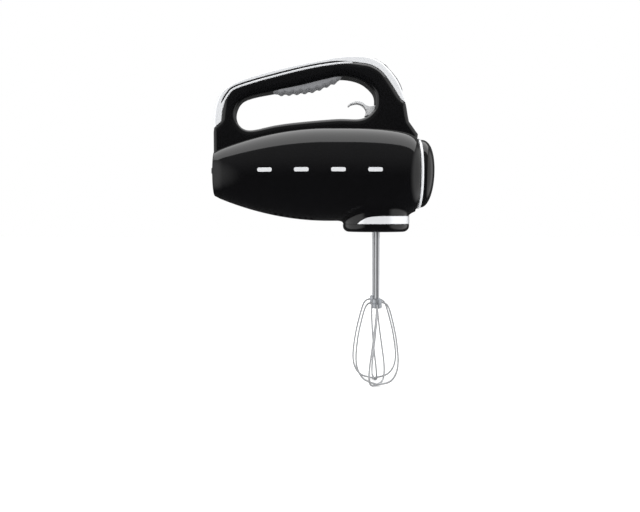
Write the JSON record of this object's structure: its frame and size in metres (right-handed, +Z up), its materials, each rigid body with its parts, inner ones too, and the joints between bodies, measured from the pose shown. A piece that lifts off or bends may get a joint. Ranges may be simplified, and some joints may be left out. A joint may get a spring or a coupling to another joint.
{
  "type": "hand mixer",
  "caption": "Electric hand mixer with a bullet-shaped body, a loop handle, an eject lever and two removable wire whisks driven by a worm gear.",
  "frame": {"origin": "on the motor axis, in the plane of the rubber bar that the mixer rests its heel on", "axes": "+X forward along the motor axis to the nose, +Z up through the handle, +Y to the left"},
  "size_m": [0.2225, 0.0962, 0.3286],
  "materials": {
    "black_shell": "high gloss black moulding",
    "chrome_trim": "polished",
    "grip_rubber": "soft matt, ribbed",
    "rubber_black": "matt",
    "display": "dark tinted window",
    "button_metal": "satin",
    "button_grey": "soft matt",
    "circuit_board": "solder mask",
    "lever_chrome": "polished",
    "plated_steel": "zinc plated",
    "white_acetal": "moulded",
    "laminated_steel": "laminated, dull",
    "copper_wire": "enamelled copper",
    "ground_steel": "ground",
    "fan_plastic": "moulded",
    "sintered_bronze": "sintered, oiled",
    "sheet_brass": "bright sheet",
    "carbon": "pressed graphite",
    "grey_nylon": "glass filled",
    "stainless_wire": "polished stainless",
    "capacitor_case": "moulded box",
    "lead_insulation": "soft sleeve"
  },
  "bodies": {
    "housing": {"lower_housing": "black_shell", "handle_housing": "black_shell", "nose_cap": "black_shell", "collar_cap": "black_shell", "control_panel": "black_shell", "top_trim": "chrome_trim", "nose_ring": "chrome_trim", "collar_band": "chrome_trim", "badge_bars_left": "chrome_trim", "badge_bars_right": "chrome_trim", "grip_pad": "grip_rubber", "heel_bar": "rubber_black", "cord_gland": "rubber_black", "display_lens": "display", "control_board": "circuit_board", "power_board": "circuit_board", "lever_pin": "plated_steel", "eject_spring": "plated_steel", "brush_springs": "plated_steel", "housing_screws": "plated_steel", "gearbox_screws": "plated_steel", "motor_screws": "plated_steel", "rear_bracket": "white_acetal", "front_bracket": "white_acetal", "stator_core": "laminated_steel", "field_coils": "copper_wire", "front_bearing": "sintered_bronze", "rear_bearing": "sintered_bronze", "spindle_bushings": "sintered_bronze", "brush_holders": "sheet_brass", "carbon_brushes": "carbon", "gearbox_base": "grey_nylon", "gearbox_cover": "grey_nylon", "suppressor_capacitor": "capacitor_case", "internal_leads": "lead_insulation"},
    "rotor": {"motor_shaft": "ground_steel", "drive_worm": "ground_steel", "armature_core": "laminated_steel", "armature_windings": "copper_wire", "commutator": "copper_wire", "cooling_fan": "fan_plastic"},
    "left_spindle": {"spindle_left": "ground_steel", "worm_wheel_left": "white_acetal", "thrust_washer_left": "plated_steel"},
    "right_spindle": {"spindle_right": "ground_steel", "worm_wheel_right": "white_acetal", "thrust_washer_right": "plated_steel"},
    "left_whisk": {"whisk_shaft_left": "stainless_wire", "whisk_hub_left": "stainless_wire", "whisk_wires_left": "stainless_wire"},
    "right_whisk": {"whisk_shaft_right": "stainless_wire", "whisk_hub_right": "stainless_wire", "whisk_wires_right": "stainless_wire"},
    "lever": {"eject_lever": "lever_chrome"},
    "slider": {"eject_slider": "white_acetal"},
    "power_key": {"power_button": "button_metal"},
    "speed_up_key": {"speed_up_button": "button_metal"},
    "speed_down_key": {"speed_down_button": "button_metal"},
    "turbo_key": {"turbo_button": "button_grey"}
  },
  "joints": [
    {"name": "motor_spin", "type": "hinge", "parent": "housing", "child": "rotor", "pos_m": [0.1, 0, 0], "axis": [1, 0, 0], "continuous": true},
    {"name": "left_spindle_spin", "type": "hinge", "parent": "housing", "child": "left_spindle", "pos_m": [0.1645, 0.018, 0], "axis": [0, 0, 1], "continuous": true},
    {"name": "right_spindle_spin", "type": "hinge", "parent": "housing", "child": "right_spindle", "pos_m": [0.1645, -0.018, 0], "axis": [0, 0, 1], "continuous": true},
    {"name": "left_whisk_release", "type": "slide", "parent": "left_spindle", "child": "left_whisk", "axis": [0, 0, -1], "range_m": [0, 0.04]},
    {"name": "right_whisk_release", "type": "slide", "parent": "right_spindle", "child": "right_whisk", "axis": [0, 0, -1], "range_m": [0, 0.04]},
    {"name": "eject_lever_press", "type": "hinge", "parent": "housing", "child": "lever", "pos_m": [0.178, 0, 0.066], "axis": [0, -1, 0], "range_deg": [0, 15], "stiffness_Nm_per_rad": 0.6, "springref_deg": -2.86},
    {"name": "eject_slide", "type": "slide", "parent": "housing", "child": "slider", "axis": [0, 0, -1], "range_m": [0, 0.0036], "deforming": ["eject_spring"]},
    {"name": "power_press", "type": "slide", "parent": "housing", "child": "power_key", "axis": [-0.757, 0, -0.6534], "range_m": [0, 0.0012], "stiffness_N_per_m": 600},
    {"name": "speed_up_press", "type": "slide", "parent": "housing", "child": "speed_up_key", "axis": [-0.6632, 0, -0.7484], "range_m": [0, 0.0012], "stiffness_N_per_m": 600},
    {"name": "speed_down_press", "type": "slide", "parent": "housing", "child": "speed_down_key", "axis": [-0.6632, 0, -0.7484], "range_m": [0, 0.0012], "stiffness_N_per_m": 600},
    {"name": "turbo_press", "type": "slide", "parent": "housing", "child": "turbo_key", "axis": [-0.8669, 0, -0.4984], "range_m": [0, 0.0012], "stiffness_N_per_m": 600}
  ],
  "couplings": [
    {"joint": "left_spindle_spin", "follows": "motor_spin", "ratio": -0.035714},
    {"joint": "right_spindle_spin", "follows": "motor_spin", "ratio": 0.035714},
    {"joint": "eject_slide", "follows": "eject_lever_press", "m_per_rad": 0.0135}
  ]
}
